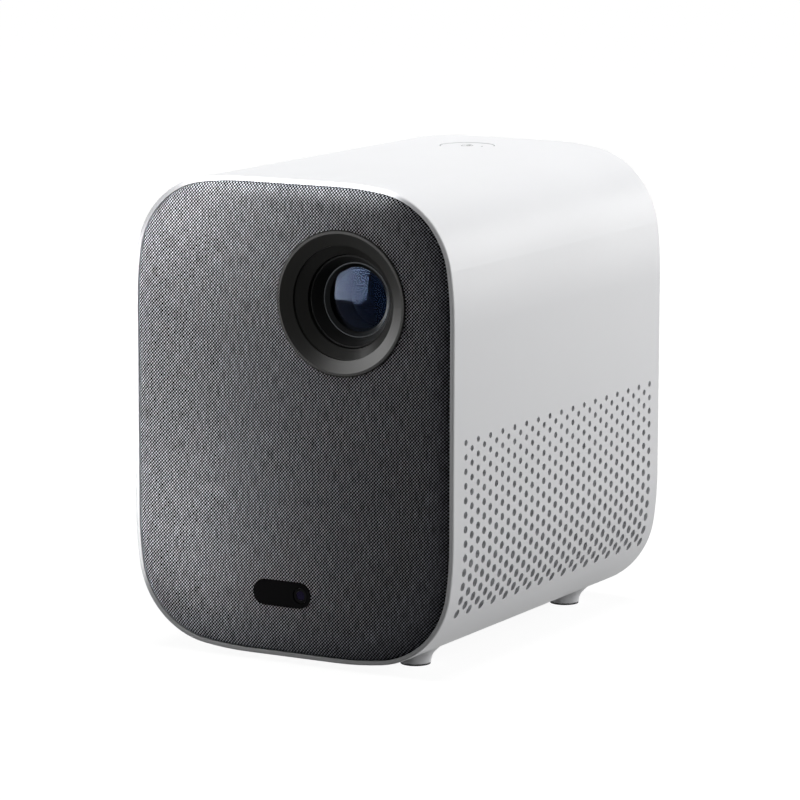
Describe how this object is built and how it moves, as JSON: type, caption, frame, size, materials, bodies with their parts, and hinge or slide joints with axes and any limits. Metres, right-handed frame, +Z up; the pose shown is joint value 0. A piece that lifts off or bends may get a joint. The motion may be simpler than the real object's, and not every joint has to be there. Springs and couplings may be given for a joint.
{
  "type": "home projector",
  "caption": "Compact upright home projector: white perforated sleeve, woven grey front with a deep-set lens, motor focus, sprung power button, fan, speakers and rear sockets.",
  "frame": {"origin": "on the floor, under the middle of the body", "axes": "+Z up; the lens looks along -Y; the vented sides are at -X and +X; the sockets face +Y"},
  "size_m": [0.115, 0.1466, 0.1525],
  "materials": {
    "white_shell": "satin moulded white",
    "pad_rubber": "matte",
    "speaker_cloth": "two-tone plain weave",
    "panel_black": "matte moulded",
    "bezel_grey": "fine satin texture",
    "barrel_black": "matte moulded",
    "ring_metal": "turned, dark anodised",
    "lens_glass": "coated",
    "window_black": "high gloss",
    "camera_black": "satin",
    "insert_brass": "turned",
    "screw_steel": "dark plated",
    "socket_steel": "plated sheet",
    "jack_black": "moulded",
    "board_green": "solder resist",
    "chip_grey": "ceramic",
    "flex_amber": "polyimide film",
    "chassis_grey": "moulded",
    "fan_black": "moulded",
    "motor_steel": "drawn can",
    "sink_aluminium": "extruded",
    "engine_casting": "black-washed casting",
    "pipe_copper": "drawn copper",
    "screen_mesh": "fine dust mesh",
    "basket_steel": "black paint",
    "magnet_iron": "zinc plated",
    "cone_black": "pressed cone",
    "surround_rubber": "moulded roll"
  },
  "bodies": {
    "body": {"antennas": "board_green", "audio_jack": "jack_black", "blue_led": "sink_aluminium", "board_screws": "screw_steel", "board_shield": "socket_steel", "button_board": "board_green", "button_screws": "screw_steel", "chassis": "chassis_grey", "chip_board": "board_green", "chip_heat_sink": "sink_aluminium", "collimators": "lens_glass", "cover_screws": "screw_steel", "dc_jack": "jack_black", "dichroic_cube": "lens_glass", "dust_screens": "screen_mesh", "engine_housing": "engine_casting", "engine_lid": "engine_casting", "engine_screws": "screw_steel", "fan_housing": "fan_black", "feet": "white_shell", "flex_cable": "flex_amber", "focus_motor": "motor_steel", "foot_pads": "pad_rubber", "foot_screws": "screw_steel", "front_fabric": "speaker_cloth", "front_panel": "panel_black", "green_led": "sink_aluminium", "hdmi_socket": "socket_steel", "heat_pipes": "pipe_copper", "heat_sink": "sink_aluminium", "imaging_chip": "chip_grey", "left_speaker_basket": "basket_steel", "left_speaker_magnet": "magnet_iron", "left_speaker_surround": "surround_rubber", "lens_bezel": "bezel_grey", "lens_tube": "barrel_black", "main_board": "board_green", "rear_cover": "white_shell", "red_led": "sink_aluminium", "relay_lens": "lens_glass", "right_speaker_basket": "basket_steel", "right_speaker_magnet": "magnet_iron", "right_speaker_surround": "surround_rubber", "sensor_glass": "lens_glass", "sensor_module": "camera_black", "sensor_window": "window_black", "sleeve": "white_shell", "tir_prism": "lens_glass", "tripod_insert": "insert_brass", "usb_socket": "socket_steel"},
    "power_button": {"power_button": "white_shell"},
    "fan": {"fan_impeller": "fan_black"},
    "focus_ring": {"focus_ring": "fan_black"},
    "focus_pinion": {"focus_pinion": "fan_black"},
    "focus_barrel": {"focus_barrel": "barrel_black", "retaining_ring": "ring_metal", "front_lens": "lens_glass", "rear_lenses": "lens_glass"},
    "left_cone": {"left_speaker_cone": "cone_black"},
    "right_cone": {"right_speaker_cone": "cone_black"}
  },
  "joints": [
    {"name": "power_button_press", "type": "slide", "parent": "body", "child": "power_button", "axis": [0, 0, -1], "range_m": [0, 0.0006], "stiffness_N_per_m": 2500},
    {"name": "fan_spin", "type": "hinge", "parent": "body", "child": "fan", "pos_m": [0.04, -0.00065, 0.05], "axis": [1, 0, 0], "continuous": true},
    {"name": "focus_ring_turn", "type": "hinge", "parent": "body", "child": "focus_ring", "pos_m": [0.0185, -0.04945, 0.11525], "axis": [0, 1, 0], "range_deg": [-45, 45]},
    {"name": "focus_pinion_turn", "type": "hinge", "parent": "body", "child": "focus_pinion", "pos_m": [0.0446, -0.04945, 0.11525], "axis": [0, 1, 0], "range_deg": [-216, 216]},
    {"name": "focus_barrel_slide", "type": "slide", "parent": "body", "child": "focus_barrel", "axis": [0, 1, 0], "range_m": [-0.001, 0.001]},
    {"name": "left_cone_stroke", "type": "slide", "parent": "body", "child": "left_cone", "axis": [0, 1, 0], "range_m": [-0.0006, 0.0006], "stiffness_N_per_m": 1500},
    {"name": "right_cone_stroke", "type": "slide", "parent": "body", "child": "right_cone", "axis": [0, 1, 0], "range_m": [-0.0006, 0.0006], "stiffness_N_per_m": 1500}
  ],
  "couplings": [
    {"joint": "focus_ring_turn", "follows": "focus_barrel_slide", "rad_per_m": 785.4},
    {"joint": "focus_pinion_turn", "follows": "focus_barrel_slide", "rad_per_m": -3769.9}
  ]
}
